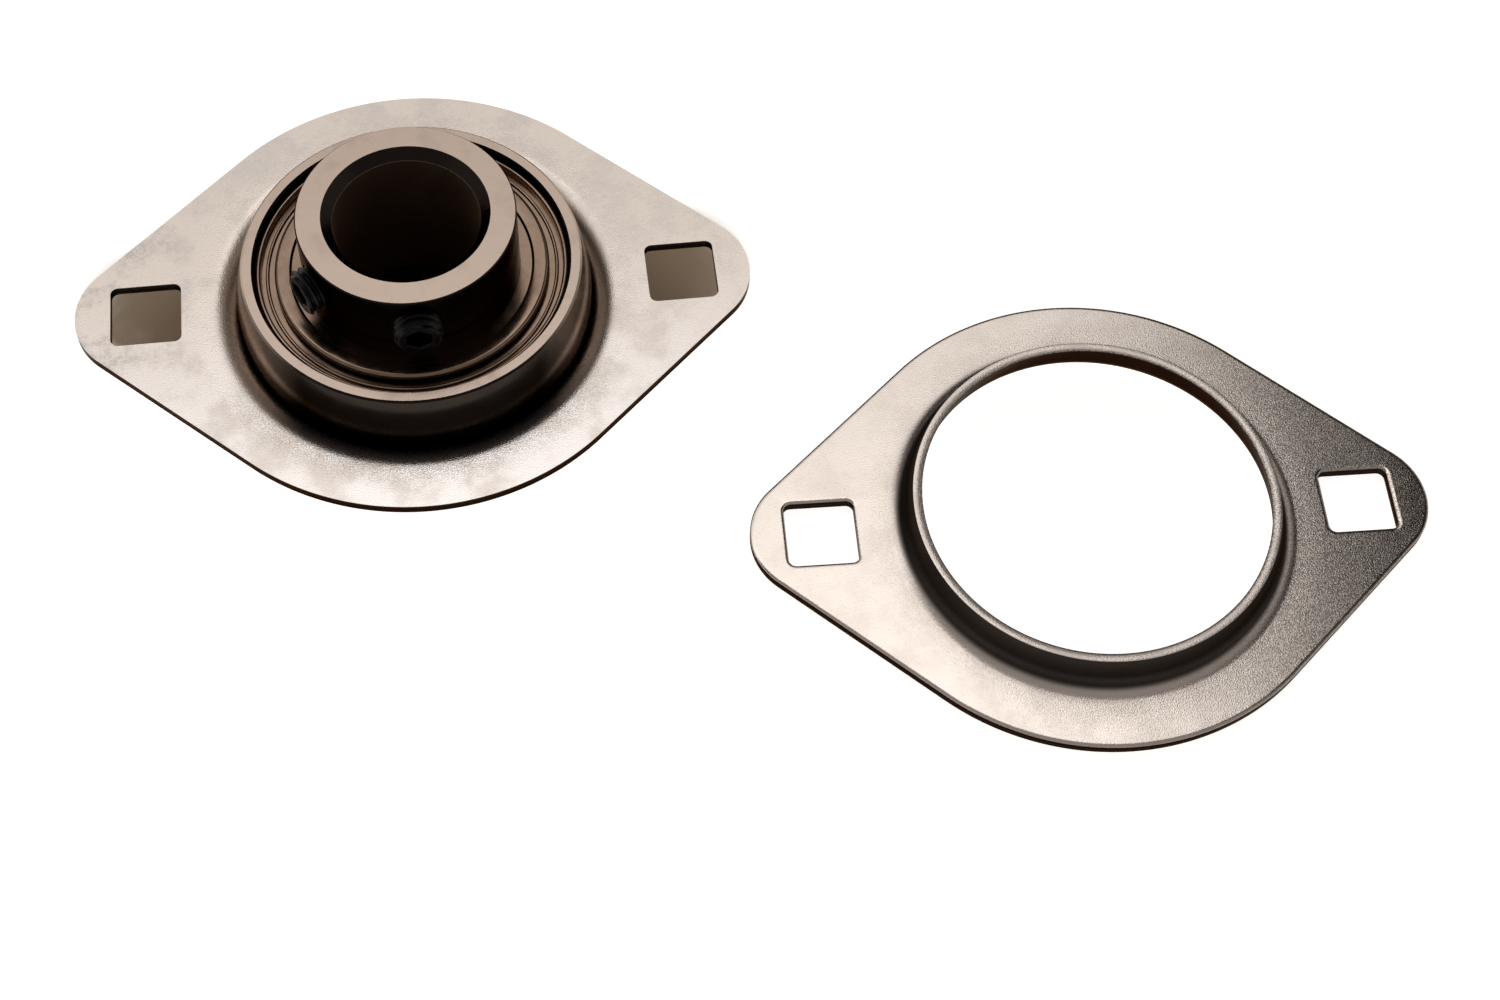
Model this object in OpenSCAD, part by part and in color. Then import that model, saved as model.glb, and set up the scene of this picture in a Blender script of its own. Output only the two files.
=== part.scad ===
// Two-bolt pressed-steel flange bearing with a self-aligning set-screw insert.
// Millimetres. The origin is the swivel centre: the middle of the spherical outer
// ring, on the bore axis, in the plane where the two flange plates meet. +Z runs
// along the bore to the set-screw side and +X along the flange plate.

/* [Flange plates] */
// Distance between the centres of the two bolt holes
hole_spacing = 71.4; // [68:0.1:76]
// Side of a square bolt hole
hole_side = 9.25; // [8:0.05:10]
// Corner radius of a bolt hole
hole_corner = 1.0; // [0.4:0.1:1.6]
// Radius of the plate's ends, round the bolt holes
end_radius = 9.3; // [8:0.1:11]
// Width of the plate across its round middle
plate_width = 66.7; // [63:0.1:74]
// Thickness of the sheet
sheet = 1.5; // [1.2:0.05:1.8]
// Height of the collar above the joint face
collar_height = 6.4; // [5:0.1:7]
// Wall of the drawn collar
collar_wall = 1.25; // [1:0.05:1.4]
// Radius on which the joint face turns into the seat
seat_lead = 4; // [3.4:0.1:4.4]
// Radial clearance between the seat and the outer ring
seat_clearance = 0.06; // [0.04:0.01:0.1]

/* [Loose plate] */
// Place of the loose plate along the first plate
loose_x = 85.4; // [84:0.1:110]
// Place of the loose plate across the first plate
loose_y = -40.3; // [-60:0.1:-30]
// Turn of the loose plate
loose_turn = -1.95; // [-10:0.05:10]

/* [Rings] */
// Diameter of the shaft bore
bore_d = 19.05; // [17:0.05:20]
// Wall of the inner ring round the bore
inner_wall = 4.675; // [4.2:0.005:5.6]
// Width of the inner ring
inner_width = 25; // [23:0.1:31]
// Chamfer at the front of the bore
bore_chamfer = 1.35; // [0.4:0.05:1.6]
// Chamfer at the back of the bore
back_chamfer = 0.7; // [0.3:0.05:1.2]
// Width of the outer ring
outer_width = 15; // [14:0.1:16]
// Width of the outer ring's flat face
face_land = 1.52; // [1.2:0.02:2]
// Wall of the outer ring behind the groove, which sets the sphere
groove_wall = 2.741; // [2.3:0.001:3.2]
// Small chamfer on the ground edges
edge_chamfer = 0.18; // [0.1:0.01:0.3]

/* [Balls and cage] */
// Diameter of a ball
ball_d = 7.938; // [7:0.001:8.4]
// Height from the balls' pitch circle to the edge of either groove
shoulder = 2.55; // [2.2:0.05:2.8]
// Gap between a ball and each groove
race_clearance = 0.04; // [0.02:0.01:0.08]
// Thickness of the cage's sheet
cage_sheet = 0.5; // [0.4:0.05:0.7]
// Width of the cage's ribbon
cage_width = 3.2; // [2.4:0.1:3.6]
// Gap between a ball and its pocket
pocket_gap = 0.12; // [0.08:0.01:0.2]
// Diameter of a cage rivet
rivet_d = 1.1; // [0.8:0.1:1.4]

/* [Seals] */
// Gap between the outer ring's mouth and the flinger
flinger_gap = 2.6; // [2.4:0.1:3.2]
// Width of the flinger's raised hub
flinger_hub = 1.6; // [1.2:0.1:2]
// Thickness of the seal's and flinger's sheet
seal_sheet = 0.3; // [0.25:0.01:0.4]
// Gap between the rubber lip and the inner ring
lip_gap = 0.05; // [0.04:0.01:0.1]

/* [Set screws] */
// Diameter of a set screw
screw_d = 6.35; // [5:0.05:7]
// Length of a set screw
screw_length = 6.35; // [5:0.05:8]
// Distance from the inner ring's front face to the screws' axes
screw_inset = 5.2; // [4:0.1:6]
// Direction of the first screw, counted from +X
screw_turn = 208.5; // [180:0.5:240]
// Angle between the two screws
screw_spread = 63; // [60:0.5:120]
// Distance from the bore to a screw's tip
tip_setback = 0.4; // [0.1:0.05:1]
// Width across the flats of the hexagon socket
socket_flats = 3.175; // [2.5:0.005:3.4]

/* [Hidden] */
$fn = 96;
ball_count = 8;
ball_names = [for (i = [1:ball_count]) str("ball_", i)];

// Sizes of the rings that follow from the bore outwards: the inner ring, the circle
// through the balls' centres and the outer ring's sphere
inner_od = bore_d + 2 * inner_wall;
pitch_d = inner_od + 2 * shoulder;
sphere_d = pitch_d + ball_d + 2 * race_clearance + 2 * groove_wall;

// The flange plate's outline and seat
middle_r = plate_width / 2;
hole_x = hole_spacing / 2;
seat_r = sphere_d / 2 + seat_clearance;
collar_r = seat_r + collar_wall;
lead_centre_r = sqrt(pow(seat_r + seat_lead, 2) - pow(seat_lead, 2));
root_fillet = seat_lead - sheet;
root_centre_r = sqrt(pow(collar_r + root_fillet, 2) - pow(seat_lead, 2));

// Depths at which the lead and the fillet have just met the collar's two spheres
touch = 0.15;
lead_foot = seat_lead * seat_r / (seat_r + seat_lead) + touch;
root_foot = seat_lead * collar_r / (collar_r + root_fillet) + touch;

// The rings
half_width = outer_width / 2;
ring_r = sphere_d / 2;
bore_r = bore_d / 2;
inner_r = inner_od / 2;
front_z = inner_width - half_width;
ball_r = ball_d / 2;
pitch_r = pitch_d / 2;
groove_r = ball_r * 1.04;
outer_groove_r = pitch_r + ball_r + race_clearance - groove_r;
inner_groove_r = pitch_r - ball_r - race_clearance + groove_r;
land_r = pitch_r + shoulder;
face_r = sqrt(pow(ring_r, 2) - pow(half_width, 2));
mouth_r = face_r - face_land;

// The cage
pocket_r = ball_r + pocket_gap;
cage_in = pitch_r - cage_width / 2;
rivet_head = 0.35;

// The seal shell: its floor beside the cage, the edge crimped into the outer ring,
// the rolled rim and the rib. Rises are counted from the middle of the floor's sheet
seal_floor = pocket_r + cage_sheet + 0.3;
shell_path = seal_floor + seal_sheet / 2;
shell_in = inner_r + 2;
crimp = 0.3;
crimp_height = 0.8;
crimp_slack = 0.05;
crimp_rise = 0.3;
rim_setback = 0.6;
rim_half = 0.27;
rim_foot = 0.5;
rim_rise = 1.45;
rim_round = 0.15;
floor_round = 0.2;
rib_setback = 0.85;
rib_half = 0.2;
rib_foot = 0.4;
rib_rise = 0.7;

// The rubber lip: its height, the thickness of its bonded ring and of its edge
lip_rise = 0.5;
lip_body = 0.5;
lip_bond = 0.8;
lip_edge = 0.25;
lip_under = 0.1;

// The flinger: the middle of its hub's sheet, the step up to the disc and the curl
flinger_r = mouth_r - flinger_gap;
flinger_z = seal_floor + 1.45;
disc_step = 0.3;
disc_slope = 0.25;
disc_rise = 0.1;
curl_start = 0.5;
curl_bend = 0.2;
curl_end = 0.15;
curl_drop = 0.35;

// The set screws
screw_r = screw_d / 2;
thread_gap = 0.04;
screw_z = front_z - screw_inset;
tip_r = bore_r + tip_setback;
screw_chamfer = 0.45;
socket_depth = 2.8;
cup_depth = 0.7;

// Small overlap for clean cuts
cut = 1;

// Turns a section, drawn with radius along X and height along Y, about the bore axis
module turned() {
    rotate_extrude($fn = 96) children();
}

// Four-sided piece of the outline between the middle circle and one end circle,
// with its corners where the straight edges touch the circles
module shoulder_web(side) {
    lean = acos((middle_r - end_radius) / hole_x);
    mid = [middle_r * cos(lean), middle_r * sin(lean)];
    end = [hole_x + end_radius * cos(lean), end_radius * sin(lean)];
    scale([side, 1, 1])
        polygon([[0, 0], mid, end, [hole_x, 0], [end.x, -end.y], [mid.x, -mid.y]]);
}

// Square hole with round corners
module bolt_hole() {
    straight = hole_side - 2 * hole_corner;
    square([hole_side, straight], center = true);
    square([straight, hole_side], center = true);
    for (x = [-1, 1], y = [-1, 1])
        translate([x * straight / 2, y * straight / 2])
            circle(r = hole_corner, $fn = 32);
}

// Outline of the flange plate with its two bolt holes
module plate_outline() {
    difference() {
        union() {
            circle(r = middle_r);
            for (side = [-1, 1]) {
                translate([side * hole_x, 0]) circle(r = end_radius);
                shoulder_web(side);
            }
        }
        for (side = [-1, 1])
            translate([side * hole_x, 0]) bolt_hole();
    }
}

// One flange pressing: joint face up at height 0, collar reaching down
module flange_pressing() {
    difference() {
        union() {
            translate([0, 0, -sheet]) linear_extrude(sheet) plate_outline();
            // Outside of the drawn collar
            intersection() {
                sphere(r = collar_r);
                translate([0, 0, -collar_height])
                    cylinder(r = collar_r + cut, h = collar_height - sheet / 2);
            }
            // Fillet between the collar and the sheet
            turned() difference() {
                translate([seat_r - cut / 2, -root_foot])
                    square([root_centre_r - seat_r + cut / 2, root_foot - sheet]);
                translate([root_centre_r, -seat_lead]) circle(r = root_fillet);
            }
        }
        // Spherical seat
        sphere(r = seat_r);
        // Lead of the joint face into the seat
        turned() difference() {
            translate([seat_r - cut, -lead_foot])
                square([lead_centre_r - seat_r + cut, lead_foot + cut]);
            translate([lead_centre_r, -seat_lead]) circle(r = seat_lead);
        }
    }
}

module bearing_flange() {
    color("#cfc4b8") flange_pressing();
}

// The second pressing lies on its joint face, level with the bearing's back
module loose_flange() {
    color("#c4b3a6")
        translate([loose_x, loose_y, -half_width])
            rotate([0, 0, loose_turn])
                rotate([180, 0, 0]) flange_pressing();
}

module outer_ring() {
    color("#b9aca0") turned() difference() {
        intersection() {
            circle(r = ring_r);
            translate([land_r, -half_width]) square([ring_r - land_r, outer_width]);
        }
        translate([outer_groove_r, 0]) circle(r = groove_r);
        for (side = [-1, 1]) scale([1, side]) {
            // Mouth for the seal, with the groove that its edge is crimped into
            translate([land_r - cut, seal_floor])
                square([mouth_r - land_r + cut, half_width]);
            translate([land_r - cut, seal_floor])
                square([mouth_r + crimp - land_r + cut, crimp_height]);
            // Chamfers of the ground face
            polygon([[mouth_r - cut, half_width + cut],
                     [mouth_r - cut, half_width - edge_chamfer - cut],
                     [mouth_r, half_width - edge_chamfer],
                     [mouth_r + edge_chamfer + cut, half_width + cut]]);
            polygon([[face_r - edge_chamfer, half_width],
                     [face_r + cut, half_width - edge_chamfer - cut],
                     [face_r + cut, half_width + cut],
                     [face_r - edge_chamfer, half_width + cut]]);
        }
    }
}

module inner_ring() {
    color("#b3a698") difference() {
        turned() difference() {
            translate([bore_r, -half_width]) square([inner_r - bore_r, inner_width]);
            translate([inner_groove_r, 0]) circle(r = groove_r);
            // Chamfers of the bore
            polygon([[bore_r - cut, front_z + cut],
                     [bore_r - cut, front_z - bore_chamfer - cut],
                     [bore_r + bore_chamfer + cut, front_z + cut]]);
            polygon([[bore_r - cut, -half_width - cut],
                     [bore_r - cut, -half_width + back_chamfer + cut],
                     [bore_r + back_chamfer + cut, -half_width - cut]]);
            // Chamfers of the outer edges
            for (end = [[front_z, 1], [-half_width, -1]])
                translate([inner_r, end[0]]) scale([1, end[1]])
                    polygon([[-edge_chamfer - cut, cut], [cut, cut],
                             [cut, -edge_chamfer - cut]]);
        }
        // Tapped holes for the set screws
        for (turn = [screw_turn, screw_turn + screw_spread])
            rotate([0, 0, turn]) translate([0, 0, screw_z]) rotate([0, 90, 0])
                cylinder(r = screw_r + thread_gap, h = inner_r + cut);
    }
}

module ball(number) {
    color("#d8d8da") rotate([0, 0, number * 360 / ball_count])
        translate([pitch_r, 0, 0]) sphere(r = ball_r);
}

module at_balls() {
    for (number = [1:ball_count])
        rotate([0, 0, number * 360 / ball_count]) translate([pitch_r, 0, 0]) children();
}

module at_rivets() {
    rotate([0, 0, 180 / ball_count]) at_balls() children();
}

// Front half of the ribbon cage: flats between pockets that hug the balls
module cage_half() {
    difference() {
        intersection() {
            union() {
                cylinder(r = pitch_r + cage_width, h = cage_sheet);
                at_balls() sphere(r = pocket_r + cage_sheet, $fn = 48);
            }
            turned() translate([cage_in, 0]) square([cage_width, pocket_r + 2 * cage_sheet]);
        }
        at_balls() sphere(r = pocket_r, $fn = 48);
        at_rivets() translate([0, 0, -cut])
            cylinder(d = rivet_d, h = cage_sheet + 2 * cut, $fn = 32);
    }
}

module cage_front_half() {
    color("#a89a86") cage_half();
}

module cage_rear_half() {
    color("#a89a86") mirror([0, 0, 1]) cage_half();
}

module cage_rivets() {
    color("#8f8577") at_rivets() {
        translate([0, 0, -cage_sheet]) cylinder(d = rivet_d, h = 2 * cage_sheet, $fn = 32);
        for (side = [0, 1]) mirror([0, 0, side])
            translate([0, 0, cage_sheet])
                cylinder(d = 2 * rivet_d, h = rivet_head, $fn = 32);
    }
}

// Unit normal, to the left, of the bend at point i of an open path, stretched so that
// both walls of a sheet bent there keep its thickness
function bend_normal(path, i) =
    let (a = path[max(i - 1, 0)], p = path[i], b = path[min(i + 1, len(path) - 1)],
         u = i == 0 ? b - p : p - a,
         v = i == len(path) - 1 ? p - a : b - p,
         m = [-u.y, u.x] / norm(u) + [-v.y, v.x] / norm(v))
    m * 2 / (m * m);

// Outline of a bent sheet of even thickness that follows a path
function bent_sheet(path, thick) = concat(
    [for (i = [0:len(path) - 1]) path[i] + bend_normal(path, i) * thick / 2],
    [for (i = [len(path) - 1:-1:0]) path[i] - bend_normal(path, i) * thick / 2]);

// Seal shell: an edge crimped into the outer ring, a rolled rim, a rib and a flat floor
module seal_shell() {
    rim = mouth_r - rim_setback;
    rib = flinger_r + rib_setback;
    rim_top = shell_path + rim_rise;
    turned() polygon(bent_sheet([
        [mouth_r + crimp - crimp_slack, shell_path + crimp_rise],
        [rim + rim_foot, shell_path + crimp_rise],
        [rim + rim_half, rim_top - rim_round],
        [rim, rim_top],
        [rim - rim_half, rim_top - rim_round],
        [rim - rim_foot + floor_round / 2, shell_path + floor_round],
        [rim - rim_foot - floor_round / 2, shell_path],
        [rib + rib_foot, shell_path],
        [rib + rib_half, shell_path + rib_rise],
        [rib - rib_half, shell_path + rib_rise],
        [rib - rib_foot, shell_path],
        [shell_in, shell_path]], seal_sheet));
}

// Rubber lip bonded round the seal shell's inner edge, reaching to the inner ring
module seal_lip() {
    lip_r = inner_r + lip_gap;
    top = shell_path + lip_rise;
    bottom = seal_floor - lip_under;
    turned() polygon([
        [shell_in, bottom],
        [shell_in, top],
        [lip_r + lip_body, top],
        [lip_r, top - lip_edge],
        [lip_r, top - lip_edge - 0.15],
        [lip_r + lip_bond, top - lip_edge - 0.05],
        [lip_r + lip_bond, bottom]]);
}

// Flinger: a hub pressed on the inner ring, a step up to the disc and a curled edge
module flinger() {
    step_r = inner_r + flinger_hub;
    disc = flinger_z + disc_step;
    turned() polygon(bent_sheet([
        [inner_r, flinger_z],
        [step_r, flinger_z],
        [step_r + disc_slope, disc],
        [flinger_r - curl_start, disc + disc_rise],
        [flinger_r - curl_bend, disc],
        [flinger_r - curl_end, disc - curl_drop]], seal_sheet));
}

module front_seal_shell() {
    color("#9c8f80") seal_shell();
}

module rear_seal_shell() {
    color("#9c8f80") mirror([0, 0, 1]) seal_shell();
}

module front_seal_lip() {
    color("#3a2f2a") seal_lip();
}

module rear_seal_lip() {
    color("#3a2f2a") mirror([0, 0, 1]) seal_lip();
}

module front_flinger() {
    color("#a5937f") flinger();
}

module rear_flinger() {
    color("#a5937f") mirror([0, 0, 1]) flinger();
}

// Set screw along a radius: chamfered ends, hexagon socket outside, cup point inside
module set_screw(turn) {
    rotate([0, 0, turn]) translate([tip_r, 0, screw_z]) rotate([0, 90, 0])
        difference() {
            turned() polygon([
                [0, 0], [screw_r - screw_chamfer, 0], [screw_r, screw_chamfer],
                [screw_r, screw_length - screw_chamfer],
                [screw_r - screw_chamfer, screw_length], [0, screw_length]]);
            translate([0, 0, screw_length - socket_depth])
                cylinder(d = socket_flats / cos(30), h = socket_depth + cut, $fn = 6);
            translate([0, 0, -0.01])
                cylinder(r1 = screw_r / 2, r2 = 0, h = cup_depth);
        }
}

module set_screw_left() {
    color("#262423") set_screw(screw_turn);
}

module set_screw_front() {
    color("#262423") set_screw(screw_turn + screw_spread);
}

bearing_flange();
loose_flange();
outer_ring();
inner_ring();
for (number = [1:ball_count])
    ball(number);
cage_front_half();
cage_rear_half();
cage_rivets();
front_seal_shell();
rear_seal_shell();
front_seal_lip();
rear_seal_lip();
front_flinger();
rear_flinger();
set_screw_left();
set_screw_front();
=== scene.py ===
"""Looks of a two-bolt flange bearing: pressed plates, insert bearing, seals and set screws.

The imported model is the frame. Sizes are millimetres, with the origin at the swivel centre
and +Z along the bore. Pieces become metres when their meshes are finished.
"""

import logging
import math
from dataclasses import dataclass, field
from enum import Enum
from typing import Optional, Sequence, Union

import bmesh
import bpy
from mathutils import Matrix, Vector

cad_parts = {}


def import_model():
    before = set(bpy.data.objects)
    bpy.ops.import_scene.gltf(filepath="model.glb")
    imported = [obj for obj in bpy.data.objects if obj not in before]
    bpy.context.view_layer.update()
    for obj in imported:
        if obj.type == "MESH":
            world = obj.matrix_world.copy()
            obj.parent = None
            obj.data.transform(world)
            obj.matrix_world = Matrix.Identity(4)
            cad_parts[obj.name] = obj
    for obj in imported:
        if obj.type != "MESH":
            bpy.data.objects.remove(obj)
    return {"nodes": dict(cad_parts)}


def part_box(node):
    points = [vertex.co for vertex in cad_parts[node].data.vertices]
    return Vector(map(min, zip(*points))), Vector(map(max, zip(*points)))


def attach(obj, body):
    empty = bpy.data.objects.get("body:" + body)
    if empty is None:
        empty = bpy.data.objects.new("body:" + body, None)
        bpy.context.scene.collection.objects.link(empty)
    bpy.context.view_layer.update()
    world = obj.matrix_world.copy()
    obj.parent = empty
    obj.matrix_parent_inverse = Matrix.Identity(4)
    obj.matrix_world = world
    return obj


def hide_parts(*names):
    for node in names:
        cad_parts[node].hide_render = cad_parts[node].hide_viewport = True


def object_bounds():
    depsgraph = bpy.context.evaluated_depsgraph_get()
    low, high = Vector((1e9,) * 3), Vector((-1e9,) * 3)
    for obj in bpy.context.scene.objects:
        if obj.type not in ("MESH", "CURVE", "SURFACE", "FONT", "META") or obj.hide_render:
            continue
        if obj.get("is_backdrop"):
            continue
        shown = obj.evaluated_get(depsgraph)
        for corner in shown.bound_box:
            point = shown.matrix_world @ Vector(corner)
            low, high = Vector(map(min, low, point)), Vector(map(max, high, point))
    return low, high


LOG = logging.getLogger("flange_bearing")

MM = 0.001
TURN_STEPS = 192
SHARP_ANGLE = math.radians(38)
PRESS_LAYER = "press"

# Distance in millimetres under which two points are one
MERGE_DISTANCE = 1e-4

# Directions of the set screws, in degrees from +X
SCREW_TURNS = {"set_screw_left": 208.5, "set_screw_front": 271.5}

Point = tuple[float, float]
Span = tuple[float, float]
Colour = tuple[float, float, float]
Value = Union[float, bpy.types.NodeSocket]


def arc(centre: Point, radius: float, start: float, end: float, steps: int) -> list[Point]:
    """Points along a round stretch of an outline, both ends included.

    Args:
        centre: Middle of the arc.
        radius: Radius of the arc.
        start: First angle in degrees, counted from the first axis.
        end: Last angle in degrees.
        steps: Number of straight pieces.

    Returns:
        The points from start to end.
    """
    points = []
    for step in range(steps + 1):
        angle = math.radians(start + (end - start) * step / steps)
        points.append((centre[0] + radius * math.cos(angle),
                       centre[1] + radius * math.sin(angle)))
    return points


def edge_corners(edges: list[bmesh.types.BMEdge]) -> list[bmesh.types.BMVert]:
    """The corners of some edges, each once and always in the same order."""
    return list(dict.fromkeys(corner for edge in edges for corner in edge.verts))


class Shape:
    """A mesh that is being shaped, in millimetres."""

    def __init__(self) -> None:
        """Starts with nothing in the mesh."""
        self.bm = bmesh.new()

    def loop(self, points: Sequence[Point], height: float) -> list[bmesh.types.BMEdge]:
        """Draws a closed outline at one height.

        Args:
            points: The outline's points in X and Y.
            height: Height of the outline.

        Returns:
            The outline's edges.
        """
        corners = [self.bm.verts.new((x, y, height)) for x, y in points]
        return [self.bm.edges.new((corners[i - 1], corners[i])) for i in range(len(corners))]

    def section(self, points: Sequence[Point]) -> list[bmesh.types.BMEdge]:
        """Draws a section as radius and height, ready to be turned.

        Args:
            points: Radius and height of each point.

        Returns:
            The section's edges.
        """
        corners = [self.bm.verts.new((radius, 0.0, height)) for radius, height in points]
        return [self.bm.edges.new(pair) for pair in zip(corners, corners[1:])]

    def turn(self, edges: list[bmesh.types.BMEdge], steps: int = TURN_STEPS) -> None:
        """Turns a section once round the bore axis.

        Args:
            edges: The section's edges.
            steps: Number of pieces round the turn.
        """
        bmesh.ops.spin(self.bm, geom=edge_corners(edges) + edges, cent=(0, 0, 0), axis=(0, 0, 1),
                       dvec=(0, 0, 0), angle=math.tau, steps=steps, use_merge=True,
                       use_duplicate=False)

    def bridge(self, first: list[bmesh.types.BMEdge],
               second: list[bmesh.types.BMEdge]) -> None:
        """Joins two closed outlines with a band of faces."""
        bmesh.ops.bridge_loops(self.bm, edges=first + second)

    def fill(self, loops: Sequence[list[bmesh.types.BMEdge]]) -> None:
        """Fills a flat area between outlines."""
        edges = [edge for loop in loops for edge in loop]
        bmesh.ops.triangle_fill(self.bm, use_beauty=True, use_dissolve=False, edges=edges)

    def thicken(self, thickness: float) -> None:
        """Gives a turned sheet its thickness.

        Args:
            thickness: Thickness of the sheet.
        """
        bmesh.ops.recalc_face_normals(self.bm, faces=self.bm.faces)
        bmesh.ops.solidify(self.bm, geom=list(self.bm.faces), thickness=thickness)

    def close(self) -> None:
        """Merges doubles and turns every face outwards."""
        bmesh.ops.remove_doubles(self.bm, verts=self.bm.verts, dist=MERGE_DISTANCE)
        bmesh.ops.recalc_face_normals(self.bm, faces=self.bm.faces)

    def keep_place(self) -> None:
        """Stores each point's place, so that a pattern can follow the piece wherever it lies."""
        layer = self.bm.verts.layers.float_vector.new(PRESS_LAYER)
        for corner in self.bm.verts:
            corner[layer] = corner.co * MM

    def move(self, matrix: Matrix) -> None:
        """Moves the whole mesh."""
        bmesh.ops.transform(self.bm, matrix=matrix, verts=self.bm.verts)


@dataclass(frozen=True)
class Role:
    """What a piece stands for in the frame.

    Attributes:
        body: The body that it rides on.
        node: The node that it replaces.
    """

    body: str
    node: str


def make_object(shape: Shape, name: str, material: bpy.types.Material) -> bpy.types.Object:
    """Turns a shape into a smooth object in metres.

    Args:
        shape: The shape in millimetres, closed.
        name: Name of the object.
        material: Finish of the object.

    Returns:
        The new object.
    """
    shape.move(Matrix.Diagonal((MM, MM, MM, 1)))
    for face in shape.bm.faces:
        face.smooth = True
    mesh = bpy.data.meshes.new(name)
    shape.bm.to_mesh(mesh)
    shape.bm.free()
    mesh.materials.append(material)
    thing = bpy.data.objects.new(name, mesh)
    bpy.context.scene.collection.objects.link(thing)
    return thing


def make_piece(shape: Shape, name: str, role: Role, finish: "Finish") -> bpy.types.Object:
    """Turns a shape into a finished piece on its body.

    Args:
        shape: The shape in millimetres, closed.
        name: Name of the piece.
        role: Body and replaced node.
        finish: Finish of the piece.

    Returns:
        The new object.
    """
    piece = make_object(shape, name, finish.material())
    piece.data.set_sharp_from_angle(angle=SHARP_ANGLE)
    normals = piece.modifiers.new("face_weighted_normals", "WEIGHTED_NORMAL")
    normals.keep_sharp = True
    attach(piece, role.body)
    finish.slot
    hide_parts(role.node)
    LOG.info("%s: %d faces on body %s", name, len(piece.data.polygons), role.body)
    return piece


@dataclass(frozen=True)
class Pattern:
    """A cloudy pattern.

    Attributes:
        grain: Size of its grains, in millimetres.
        detail: Number of finer layers.
        roughness: Share of the finer layers.
        seed: Which of many patterns of the kind.
    """

    grain: float
    detail: float = 2.0
    roughness: float = 0.5
    seed: float = 0.0


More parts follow.
